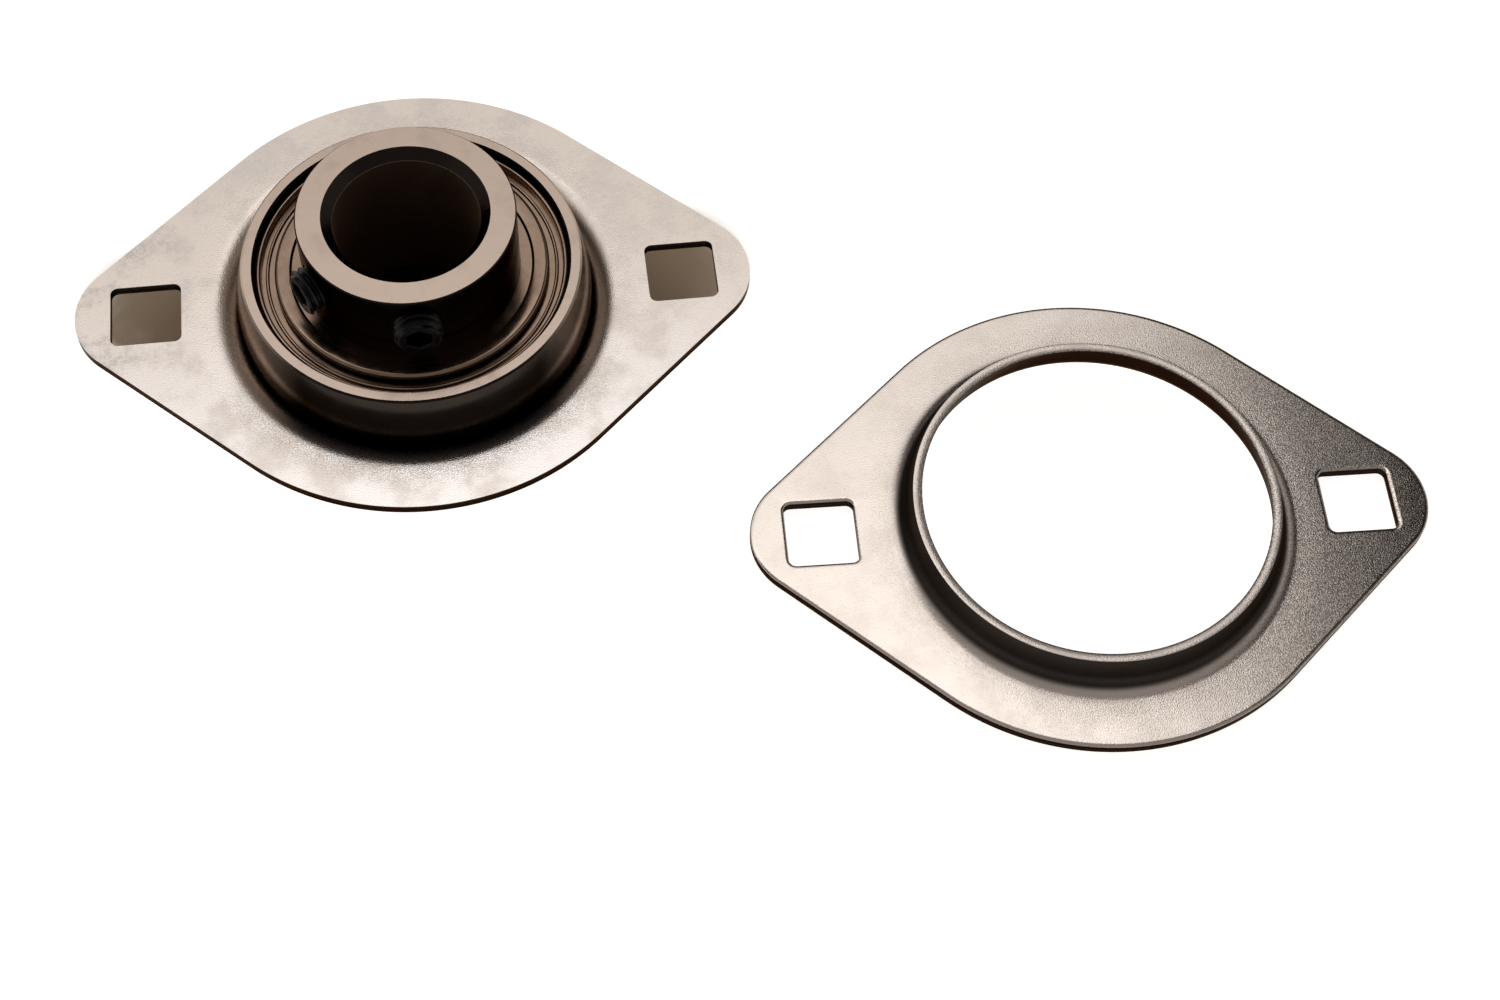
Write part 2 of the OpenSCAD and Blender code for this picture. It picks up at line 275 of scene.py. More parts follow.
class Graph:
    """The nodes of one tree, built with short calls."""

    def __init__(self, tree: bpy.types.NodeTree) -> None:
        """Takes the tree that the nodes go into."""
        self.tree = tree

    def feed(self, socket: bpy.types.NodeSocket, value: Union[Value, Colour]) -> None:
        """Sets a socket to a number or colour, or links it."""
        if isinstance(value, bpy.types.NodeSocket):
            self.tree.links.new(value, socket)
        elif isinstance(value, tuple) and len(socket.default_value) == 4:
            socket.default_value = (*value, 1.0)
        else:
            socket.default_value = value

    def coordinates(self, kind: str) -> bpy.types.NodeSocket:
        """The Object place or the Normal in the part's own frame, or the world's direction."""
        return self.tree.nodes.new("ShaderNodeTexCoord").outputs[kind]

    def split(self, vector: bpy.types.NodeSocket) -> tuple[bpy.types.NodeSocket, ...]:
        """The X, Y and Z of a vector."""
        node = self.tree.nodes.new("ShaderNodeSeparateXYZ")
        self.feed(node.inputs[0], vector)
        return tuple(node.outputs)

    def join(self, x: Value, y: Value, z: Value) -> bpy.types.NodeSocket:
        """A vector from its X, Y and Z."""
        node = self.tree.nodes.new("ShaderNodeCombineXYZ")
        for socket, value in zip(node.inputs, (x, y, z)):
            self.feed(socket, value)
        return node.outputs[0]

    def maths(self, operation: str, first: Value, *others: Value) -> bpy.types.NodeSocket:
        """Result of a sum on one number, or on several from left to right.

        Args:
            operation: Name of the sum, such as MULTIPLY.
            first: First number.
            others: The other numbers, where the sum has them.

        Returns:
            The result.
        """
        result = first
        for other in others or (0.0,):
            node = self.tree.nodes.new("ShaderNodeMath")
            node.operation = operation
            self.feed(node.inputs[0], result)
            self.feed(node.inputs[1], other)
            result = node.outputs[0]
        return result

    def radius(self, vector: bpy.types.NodeSocket) -> bpy.types.NodeSocket:
        """Distance from the bore axis, in metres."""
        x, y, _ = self.split(vector)
        squares = self.maths("ADD", self.maths("MULTIPLY", x, x), self.maths("MULTIPLY", y, y))
        return self.maths("SQRT", squares)

    def noise(self, vector: bpy.types.NodeSocket, pattern: Pattern,
              shift: float = 0.0) -> bpy.types.NodeSocket:
        """Draws a cloudy pattern.

        Args:
            vector: Place of the pattern, in metres.
            pattern: The pattern's size and layers.
            shift: Number added to its seed.

        Returns:
            The pattern, about 0.2 to 0.8.
        """
        node = self.tree.nodes.new("ShaderNodeTexNoise")
        node.noise_dimensions = "4D"
        self.feed(node.inputs["Vector"], vector)
        node.inputs["Scale"].default_value = 1 / (pattern.grain * MM)
        node.inputs["Detail"].default_value = pattern.detail
        node.inputs["Roughness"].default_value = pattern.roughness
        node.inputs["W"].default_value = pattern.seed + shift
        return node.outputs[0]

    def remap(self, value: Value, low: float, high: float, to_low: float = 0.0,
              to_high: float = 1.0) -> bpy.types.NodeSocket:
        """Maps a range softly onto another one.

        Args:
            value: The number to map.
            low: Number that becomes to_low.
            high: Number that becomes to_high.
            to_low: Result at low and below.
            to_high: Result at high and above.

        Returns:
            The mapped number.
        """
        node = self.tree.nodes.new("ShaderNodeMapRange")
        node.interpolation_type = "SMOOTHSTEP"
        for socket, number in zip(node.inputs, (value, low, high, to_low, to_high)):
            self.feed(socket, number)
        return node.outputs[0]

    def reach(self, length: Value, start: float, end: float, at_start: float = 0.0,
              at_end: float = 1.0) -> bpy.types.NodeSocket:
        """Maps a length softly, between two lengths in millimetres.

        Args:
            length: The length to map, in metres.
            start: Length that becomes at_start, in millimetres.
            end: Length that becomes at_end, in millimetres.
            at_start: Result at the start and before it.
            at_end: Result at the end and past it.

        Returns:
            The mapped number.
        """
        return self.remap(length, start * MM, end * MM, at_start, at_end)

    def facing(self) -> bpy.types.NodeSocket:
        """How level the surface is, from 0 on an upright wall to 1 on a flat face."""
        return self.maths("ABSOLUTE", self.split(self.coordinates("Normal"))[2])

    def mix(self, share: Value, first: Union[Value, Colour],
            second: Union[Value, Colour]) -> bpy.types.NodeSocket:
        """Blends two colours.

        Args:
            share: Share of the second colour.
            first: First colour.
            second: Second colour.

        Returns:
            The blend.
        """
        node = self.tree.nodes.new("ShaderNodeMix")
        node.data_type = "RGBA"
        self.feed(node.inputs["Factor"], share)
        self.feed(node.inputs[6], first)
        self.feed(node.inputs[7], second)
        return node.outputs[2]

    def relief(self, height: bpy.types.NodeSocket, depth: float,
               over: Optional[bpy.types.NodeSocket] = None) -> bpy.types.NodeSocket:
        """Makes a pattern stand up as fine relief.

        Args:
            height: The pattern.
            depth: Depth of the relief, in millimetres.
            over: Relief that it lies on.

        Returns:
            The surface direction.
        """
        node = self.tree.nodes.new("ShaderNodeBump")
        node.inputs["Strength"].default_value = 1.0
        node.inputs["Distance"].default_value = depth * MM
        self.feed(node.inputs["Height"], height)
        if over is not None:
            self.feed(node.inputs["Normal"], over)
        return node.outputs[0]


class MaterialGraph(Graph):
    """The nodes of one material, round one shader."""

    def __init__(self, name: str) -> None:
        """Starts a material with one shader.

        Args:
            name: Name of the material.
        """
        self.material = bpy.data.materials.new(name)
        self.material.use_nodes = True
        super().__init__(self.material.node_tree)
        self.tree.nodes.clear()
        output = self.tree.nodes.new("ShaderNodeOutputMaterial")
        self.shader = self.tree.nodes.new("ShaderNodeBsdfPrincipled")
        self.tree.links.new(self.shader.outputs["BSDF"], output.inputs["Surface"])

    def surface(self, **values: Union[Value, Colour]) -> None:
        """Sets the shader's sockets, with spaces written as underscores."""
        for name, value in values.items():
            self.feed(self.shader.inputs[name.replace("_", " ")], value)


class PlatePoint:
    """A point of a plate's surface, as the sockets that the plate's zones read."""

    PATCHES = Pattern(6.0, detail=4.0, roughness=0.6)
    SPECKS = Pattern(0.22, detail=1.0, seed=5.0)

    def __init__(self, graph: Graph, seed: float) -> None:
        """Reads the place in the part's frame and in the pressing's own frame.

        Args:
            graph: Nodes of the plate's material.
            seed: Number that sets the plate's patterns apart from another plate's.
        """
        self.graph = graph
        self.seed = seed
        self.place = graph.coordinates("Object")
        press = graph.tree.nodes.new("ShaderNodeAttribute")
        press.attribute_name = PRESS_LAYER
        self.across, self.along, self.height = graph.split(press.outputs["Vector"])
        self.radius = graph.radius(press.outputs["Vector"])
        self.facing = graph.facing()
        self.patches = self.noise(self.PATCHES)
        self.specks = self.noise(self.SPECKS)

    def noise(self, pattern: Pattern) -> bpy.types.NodeSocket:
        """Draws a pattern that no other plate shares."""
        return self.graph.noise(self.place, pattern, self.seed)


@dataclass(frozen=True)
class Mottle:
    """Grey mottled patches, most of them at a plate's left end.

    Attributes:
        strength: Share of the grey at the left end.
        elsewhere: Part of that share away from the end.
        start: X where the strength starts to grow, in millimetres.
        end: X where it is full, in millimetres.
        patch_edge: Where a patch starts in its pattern, and where it is full.
        flecks: Pattern of the flecks in a patch.
        fleck_edge: Where a fleck starts in its pattern, and where it is full.
        between: Share of the grey between the flecks.
        colour: Colour of the patches.
    """

    strength: float
    elsewhere: float = 0.15
    start: float = -26.0
    end: float = -38.0
    patch_edge: Span = (0.44, 0.58)
    flecks: Pattern = Pattern(0.9, roughness=0.6, seed=3.0)
    fleck_edge: Span = (0.42, 0.56)
    between: float = 0.2
    colour: Colour = (0.34, 0.33, 0.32)

    def share(self, point: PlatePoint) -> bpy.types.NodeSocket:
        """Share of the grey at a point."""
        graph = point.graph
        patches = graph.remap(point.patches, *self.patch_edge)
        flecks = graph.remap(point.noise(self.flecks), *self.fleck_edge, self.between, 1.0)
        zone = graph.reach(point.across, self.start, self.end, self.elsewhere, 1.0)
        return graph.maths("MULTIPLY", patches, flecks, zone, self.strength)


@dataclass(frozen=True)
class Speckles:
    """Dark speckles on one side of a plate.

    Attributes:
        towards: Direction of that side, in the pressing's own frame.
        start: Distance in that direction where they start, in millimetres.
        end: Distance where they are full, in millimetres.
        faded: Radius at which they have faded, in millimetres.
        strength: Share of their colour.
        full: Radius inside which they don't fade, in millimetres.
        dots: Pattern of the speckles.
        dot_edge: Where a speckle starts in its pattern, and where it is full.
        colour: Colour of the speckles.
    """

    towards: Point
    start: float
    end: float
    faded: float
    strength: float
    full: float = 27.5
    dots: Pattern = Pattern(0.18, detail=1.0, seed=13.0)
    dot_edge: Span = (0.46, 0.58)
    colour: Colour = (0.17, 0.16, 0.155)

    def share(self, point: PlatePoint) -> bpy.types.NodeSocket:
        """Share of the speckles' colour at a point."""
        graph = point.graph
        x, y = self.towards
        along = graph.maths("ADD", graph.maths("MULTIPLY", point.across, x),
                            graph.maths("MULTIPLY", point.along, y))
        dots = graph.remap(point.noise(self.dots), *self.dot_edge, 0.0, self.strength)
        side = graph.reach(along, self.start, self.end)
        ring = graph.reach(point.radius, self.faded, self.full)
        return graph.maths("MULTIPLY", dots, side, ring)


@dataclass(frozen=True)
class PressedZones:
    """The zones that the press tools leave on a plate.

    Attributes:
        sheet: Thickness of the sheet, in millimetres.
        upright: Facing at which a wall starts to count as upright, and at which it is.
        leaning: Facing at which drawn sheet starts to count as wall, and at which it does.
        level: Facing at which the rim starts to count as level, and at which it is.
        sheet_end: Depth in sheets where a cut wall ends, and where it is whole.
        torn_end: Depth in sheets where the torn part of a cut wall ends, and where it is whole.
        drawn_start: Depth in sheets where the drawn wall starts, and where it is whole.
        drawn_share: Share of the dark cut colour, a painted shade, on the drawn wall.
        cut_ends: Radius where cut walls start, and where they are whole, in millimetres.
        seat_ends: Radius where the seat starts, and where it is whole, in millimetres.
        rim_start: Depth where the collar's rim starts, in millimetres.
        rim_end: Depth where the rim's flat part starts, in millimetres.
        rim_blend: Depth over which the rim's zones change, in millimetres.
    """

    sheet: float = 1.5
    upright: Span = (0.62, 0.30)
    leaning: Span = (0.95, 0.80)
    level: Span = (0.45, 0.60)
    sheet_end: Span = (1.02, 0.98)
    torn_end: Span = (0.55, 0.40)
    drawn_start: Span = (1.0, 1.5)
    drawn_share: float = 0.95
    cut_ends: Span = (27.0, 27.3)
    seat_ends: Span = (23.75, 23.65)
    rim_start: float = 6.06
    rim_end: float = 6.38
    rim_blend: float = 0.08

    def depth(self, point: PlatePoint, ends: Span, full: float = 1.0) -> bpy.types.NodeSocket:
        """Share that changes with the depth below the joint face.

        Args:
            point: The point of the plate.
            ends: Depth in sheets where the share starts, and where it is full.
            full: The full share.

        Returns:
            The share.
        """
        start, end = (-self.sheet * depth for depth in ends)
        return point.graph.reach(point.height, start, end, 0.0, full)

    def cut_edge(self, point: PlatePoint) -> bpy.types.NodeSocket:
        """The walls that the punch has cut: the outline and the bolt holes."""
        graph = point.graph
        return graph.maths("MULTIPLY", graph.remap(point.facing, *self.upright),
                           self.depth(point, self.sheet_end),
                           graph.reach(point.radius, *self.cut_ends))

    def torn(self, point: PlatePoint) -> bpy.types.NodeSocket:
        """The part of the sheet's thickness that has torn, next to the joint face."""
        return self.depth(point, self.torn_end)

    def bare(self, point: PlatePoint, cut_edge: Value) -> bpy.types.NodeSocket:
        """The cut walls, the seat and the drawn wall: bare steel, which also takes the painted
        shade.

        Args:
            point: The point of the plate.
            cut_edge: The cut walls.

        Returns:
            Share of bare steel, which is also where the shade is painted.
        """
        graph = point.graph
        seat = graph.maths("MULTIPLY", graph.remap(point.facing, *self.upright),
                           graph.reach(point.radius, *self.seat_ends))
        wall = graph.maths("MULTIPLY", graph.remap(point.facing, *self.leaning),
                           self.depth(point, self.drawn_start, self.drawn_share))
        return graph.maths("MAXIMUM", cut_edge, seat, wall)

    def slope(self, point: PlatePoint) -> bpy.types.NodeSocket:
        """The torn slope inside the collar's rim."""
        graph = point.graph
        below = graph.reach(point.height, -self.rim_start, -self.rim_start - self.rim_blend)
        above = graph.reach(point.height, -self.rim_end, self.rim_blend - self.rim_end)
        return graph.maths("MULTIPLY", graph.remap(point.facing, *self.level), below, above)


@dataclass(frozen=True)
class PressedSteel:
    """Finish of a pressed plate: satin sheet with a fine grain, cut edges and drawn zones, and
    painted shade on the walls and the seat.

    Attributes:
        name: Name of the material.
        light: Colour of the clean sheet.
        front: Paler colour of the sheet towards negative Y: a painted sheen, where the plate's
            front catches more light.
        dull: Colour of the duller patches.
        grain_depth: Depth of the sheet's grain, in millimetres.
        seed: Number that sets the plate's patterns apart from another plate's.
        roughness: Roughness where the sheet is smoothest, and where it is dullest.
        speckles: Speckles of the plate.
        mottle: Mottled patches of the plate, if it has them.
        zones: Zones that the press tools leave.
        cut: Near-black colour painted on the cut walls, the seat and the drawn wall as their shade;
            also the colour of the sheet's dark specks.
        front_sheen_ends: Y where the front's colour starts, and where it is full, in millimetres.
        dull_edge: Where a dull patch starts in its pattern, and where it is full.
        rough_edge: Where the roughness starts to rise in that pattern, and where it is full.
        bare_rough: Roughness that bare steel adds.
        drawn_rough: Roughness that drawing adds.
        drawn_ends: Radius where that roughness starts, and where it is full, in millimetres.
        speck_edge: Where a speck starts in its pattern, and where it is full.
        speck_share: Share of the cut colour in the sheet's specks.
        torn_edge: Where a speck of the torn rim starts, and where it is full.
        torn_share: Share of the cut colour in those specks.
        grain: Pattern of the sheet's grain.
        stretch: How much deeper drawing makes the grain.
        stretch_ends: Radius where the grain starts to deepen, and where it is deepest.
        fine: Pattern of the finest grain.
        fine_share: Depth of the finest grain, as a share of the grain's depth.
        tears: Pattern of the tears along the cut walls.
        torn_depth: Depth of torn steel, in millimetres.
        grazing: Tint of the reflection at a grazing angle.
    """

    name: str
    light: Colour
    front: Colour
    dull: Colour
    grain_depth: float
    seed: float
    roughness: Span
    speckles: Speckles
    mottle: Optional[Mottle] = None
    zones: PressedZones = PressedZones()
    # Near-black: painted shade of the walls and the seat, and the colour of the dark specks.
    cut: Colour = (0.018, 0.014, 0.012)
    front_sheen_ends: Span = (8.0, -26.0)
    dull_edge: Span = (0.40, 0.66)
    rough_edge: Span = (0.35, 0.65)
    bare_rough: float = 0.15
    drawn_rough: float = 0.12
    drawn_ends: Span = (28.2, 26.0)
    speck_edge: Span = (0.62, 0.74)
    speck_share: float = 0.15
    torn_edge: Span = (0.42, 0.60)
    torn_share: float = 0.55
    grain: Pattern = Pattern(0.20, roughness=0.6, seed=7.0)
    stretch: float = 2.2
    stretch_ends: Span = (32.0, 27.0)
    fine: Pattern = Pattern(0.10, detail=1.0, seed=11.0)
    fine_share: float = 0.3
    tears: Pattern = Pattern(0.10, detail=1.0)
    torn_depth: float = 0.05
    grazing: Colour = (0.45, 0.40, 0.36)

    def sheet_colour(self, point: PlatePoint, slope: Value) -> bpy.types.NodeSocket:
        """Colour of the sheet with its patches, speckles and specks.

        Args:
            point: The point of the plate.
            slope: The torn slope of the rim.

        Returns:
            The colour.
        """
        graph = point.graph
        # Painted sheen: the sheet turns paler towards its front, towards negative Y.
        colour = graph.mix(graph.reach(point.along, *self.front_sheen_ends), self.light, self.front)
        colour = graph.mix(graph.remap(point.patches, *self.dull_edge), colour, self.dull)
        if self.mottle:
            colour = graph.mix(self.mottle.share(point), colour, self.mottle.colour)
        colour = graph.mix(self.speckles.share(point), colour, self.speckles.colour)
        specks = graph.remap(point.specks, *self.speck_edge, 0.0, self.speck_share)
        colour = graph.mix(specks, colour, self.cut)
        torn_specks = graph.remap(point.specks, *self.torn_edge, 0.0, self.torn_share)
        return graph.mix(graph.maths("MULTIPLY", slope, torn_specks), colour, self.cut)

    def total_roughness(self, point: PlatePoint, worn: Value) -> bpy.types.NodeSocket:
        """Roughness of the sheet, the bare steel and the drawn zone together.

        Args:
            point: The point of the plate.
            worn: Share of bare or torn steel.

        Returns:
            The roughness.
        """
        graph = point.graph
        return graph.maths("ADD", graph.remap(point.patches, *self.rough_edge, *self.roughness),
                           graph.maths("MULTIPLY", worn, self.bare_rough),
                           graph.reach(point.radius, *self.drawn_ends, 0.0, self.drawn_rough))

    def relief(self, point: PlatePoint, torn: Value, slope: Value) -> bpy.types.NodeSocket:
        """Grain of the sheet, and the tearing of its cut walls and rim.

        Args:
            point: The point of the plate.
            torn: Share of torn wall.
            slope: The torn slope of the rim.

        Returns:
            The surface direction.
        """
        graph = point.graph
        grain = graph.maths("MULTIPLY", point.noise(self.grain),
                            graph.reach(point.radius, *self.stretch_ends, 1.0, self.stretch))
        tears = graph.noise(graph.join(0.0, 0.0, point.height), self.tears, self.seed)
        rough_cut = graph.maths("MULTIPLY", graph.maths("ADD", tears, grain), torn)
        relief = graph.relief(grain, self.grain_depth)
        relief = graph.relief(point.noise(self.fine), self.grain_depth * self.fine_share, relief)
        relief = graph.relief(rough_cut, self.torn_depth, relief)
        return graph.relief(graph.maths("MULTIPLY", point.specks, slope), self.torn_depth, relief)

    def material(self) -> bpy.types.Material:
        """Builds the material."""
        graph = MaterialGraph(self.name)
        point = PlatePoint(graph, self.seed)
        cut_edge = self.zones.cut_edge(point)
        bare = self.zones.bare(point, cut_edge)
        slope = self.zones.slope(point)
        torn = graph.maths("MULTIPLY", cut_edge, self.zones.torn(point))
        # Painted shade: the cut walls, the seat and the drawn wall take the near-black cut colour.
        graph.surface(Base_Color=graph.mix(bare, self.sheet_colour(point, slope), self.cut),
                      Metallic=1.0,
                      Roughness=self.total_roughness(point, graph.maths("MAXIMUM", bare, slope)),
                      Normal=self.relief(point, torn, slope),
                      Specular_Tint=self.grazing)
        return graph.material


@dataclass(frozen=True)
class GroundSteel:
    """Finish of a ground and turned ring.

    Attributes:
        name: Name of the material.
        face: Colour of the flat faces.
        barrel: Near-black colour of the round sides, a painted shade; the stains on the faces take
            it too.
        side: Paler colour painted on the round sides far left and right, as the light that they
            catch there.
        bore: Colour of the bore.
        face_roughness: Roughness of the flat faces.
        barrel_roughness: Roughness of the round sides.
        bore_roughness: Roughness of the bore.
        marks: Depth of the turning marks, in millimetres.
        flat_edge: Facing at which a face starts to count as flat, and at which it is.
        lit_side_ends: Distance from the middle where the side starts, and where it is full.
        bore_ends: Radius where the bore's finish starts, and where it is full.
        stains: Pattern of the stains.
        stain_edge: Where a stain starts in its pattern, and where it is full.
        stain_share: Share of the barrel's colour in the stains.
        stain_rough: Roughness that the clean places and the stains add.
        rough_edge: Where that roughness starts to rise in the pattern, and where it is full.
        turning: Pattern of the turning marks.
        grain: Pattern of the flat faces' grain.
        grain_share: Depth of that grain, as a share of the turning marks' depth.
        grazing: Tint of the reflection at a grazing angle.
    """

    name: str
    face: Colour
    barrel: Colour
    side: Colour
    bore: Colour
    face_roughness: float
    barrel_roughness: float
    bore_roughness: float
    marks: float
    flat_edge: Span = (0.8, 0.95)
    lit_side_ends: Span = (15.0, 21.0)
    bore_ends: Span = (9.56, 9.53)
    stains: Pattern = Pattern(3.0, detail=3.0, roughness=0.6, seed=2.0)
    stain_edge: Span = (0.50, 0.75)
    stain_share: float = 0.08
    stain_rough: Span = (-0.02, 0.05)
    rough_edge: Span = (0.40, 0.70)
    turning: Pattern = Pattern(0.09, roughness=0.6, seed=5.0)
    grain: Pattern = Pattern(0.16, seed=9.0)
    grain_share: float = 1.5
    grazing: Colour = (0.40, 0.36, 0.33)

    def material(self) -> bpy.types.Material:
        """Builds the material."""
        graph = MaterialGraph(self.name)
        place = graph.coordinates("Object")
        across, _, height = graph.split(place)
        radius = graph.radius(place)
        flat = graph.remap(graph.facing(), *self.flat_edge)
        inside = graph.reach(radius, *self.bore_ends)
        stains = graph.noise(place, self.stains)
        stained = graph.remap(stains, *self.stain_edge, 0.0, self.stain_share)
        # Painted light: far left and right the round sides turn paler.
        aside = graph.reach(graph.maths("ABSOLUTE", across), *self.lit_side_ends)
        # Painted shade: the round sides take the near-black barrel colour.
        colour = graph.mix(aside, self.barrel, self.side)
        colour = graph.mix(inside, colour, self.bore)
        colour = graph.mix(flat, colour, self.face)
        colour = graph.mix(stained, colour, self.barrel)
        roughness = graph.remap(flat, 0.0, 1.0, self.barrel_roughness, self.face_roughness)
        roughness = graph.remap(inside, 0.0, 1.0, roughness, self.bore_roughness)
        roughness = graph.maths("ADD", roughness,
                                graph.remap(stains, *self.rough_edge, *self.stain_rough))
        turned = graph.noise(graph.join(radius, 0.0, height), self.turning)
        grain = graph.maths("MULTIPLY", graph.noise(place, self.grain), flat)
        relief = graph.relief(turned, self.marks)
        relief = graph.relief(grain, self.marks * self.grain_share, relief)
        graph.surface(Base_Color=colour, Metallic=1.0, Roughness=roughness, Normal=relief,
                      Specular_Tint=self.grazing)
        return graph.material


@dataclass(frozen=True)
class PlainMetal:
    """Finish of a small piece with an even surface.

    Attributes:
        name: Name of the material.
        light: Main colour.
        dark: Colour of the stains.
        roughness: Middle roughness.
        grain: Size of the grain, in millimetres.
        depth: Depth of the grain, in millimetres.
        metallic: Share of metal in the shader.
        stain_size: Size of the stains, in grains.
        stain_edge: Where a stain starts in its pattern, and where it is full.
        rough_edge: Where the roughness starts to rise in that pattern, and where it is full.
        rough_range: Least and greatest roughness, as shares of the middle one.
    """

    name: str
    light: Colour
    dark: Colour
    roughness: float
    grain: float = 0.2
    depth: float = 0.004
    metallic: float = 1.0
    stain_size: float = 10.0
    stain_edge: Span = (0.40, 0.65)
    rough_edge: Span = (0.35, 0.65)
    rough_range: Span = (0.85, 1.20)

    def material(self) -> bpy.types.Material:
        """Builds the material."""
        graph = MaterialGraph(self.name)
        place = graph.coordinates("Object")
        stains = graph.noise(place, Pattern(self.grain * self.stain_size, 3.0, 0.6, 4.0))
        grain = graph.noise(place, Pattern(self.grain, seed=6.0))
        low, high = (self.roughness * share for share in self.rough_range)
        graph.surface(Base_Color=graph.mix(graph.remap(stains, *self.stain_edge),
                                           self.light, self.dark),
                      Metallic=self.metallic,
                      Roughness=graph.remap(stains, *self.rough_edge, low, high),
                      Normal=graph.relief(grain, self.depth))
        return graph.material


class Finish(Enum):
    """The finishes of the bearing's pieces."""

    # The bearing plate's front colour is a painted sheen; the loose plate has none.
    BEARING_PLATE = PressedSteel(
        "bearing_plate_steel", light=(0.87, 0.78, 0.71), front=(0.98, 0.93, 0.91),
        dull=(0.80, 0.73, 0.68), grain_depth=0.016, seed=1.0, roughness=(0.13, 0.18),
        speckles=Speckles((0.0, -1.0), start=8.0, end=22.0, faded=32.0, strength=0.45),
        mottle=Mottle(0.35))
    LOOSE_PLATE = PressedSteel(
        "loose_plate_steel", light=(0.87, 0.79, 0.73), front=(0.87, 0.79, 0.73),
        dull=(0.81, 0.73, 0.67), grain_depth=0.013, seed=21.0, roughness=(0.13, 0.17),
        speckles=Speckles((1.0, 0.0), start=4.0, end=32.0, faded=80.0, strength=0.68))
    # The ring's barrel colour is a painted shade and its side colour is painted light.
    RING = GroundSteel(
        "ground_ring_steel", face=(0.63, 0.51, 0.43), barrel=(0.034, 0.027, 0.023),
        side=(0.40, 0.33, 0.28), bore=(0.42, 0.29, 0.20), face_roughness=0.26,
        barrel_roughness=0.18, bore_roughness=0.5, marks=0.0015)
    SEAL = PlainMetal(
        "seal_sheet_steel", light=(0.37, 0.265, 0.20), dark=(0.33, 0.235, 0.175), roughness=0.20)
    BALL = PlainMetal(
        "polished_ball_steel", light=(0.72, 0.71, 0.70), dark=(0.68, 0.67, 0.66), roughness=0.06,
        grain=0.3, depth=0.0005)
    CAGE = PlainMetal(
        "cage_strip_steel", light=(0.58, 0.52, 0.44), dark=(0.48, 0.42, 0.35), roughness=0.32)
    RUBBER = PlainMetal(
        "seal_rubber", light=(0.022, 0.020, 0.018), dark=(0.035, 0.031, 0.028), roughness=0.55,
        grain=0.1, depth=0.006, metallic=0.0)
    SCREW = PlainMetal(
        "black_oxide_steel", light=(0.007, 0.0075, 0.009), dark=(0.012, 0.011, 0.010),
        roughness=0.36, grain=0.12, depth=0.006, metallic=0.85)

    @property
    def slot(self) -> str:
        """The record's material slot of the finish."""
        return SLOTS[self]

    def material(self) -> bpy.types.Material:
        """The finish's material, built on first use."""
        if self not in MATERIALS:
            MATERIALS[self] = self.value.material()
        return MATERIALS[self]


SLOTS: dict[Finish, str] = {
    Finish.BEARING_PLATE: "bearing_flange_steel",
    Finish.LOOSE_PLATE: "loose_flange_steel",
    Finish.RING: "ring_steel",
    Finish.SEAL: "seal_steel",
    Finish.BALL: "ball_steel",
    Finish.CAGE: "cage_steel",
    Finish.RUBBER: "seal_rubber",
    Finish.SCREW: "screw_steel",
}
MATERIALS: dict[Finish, bpy.types.Material] = {}


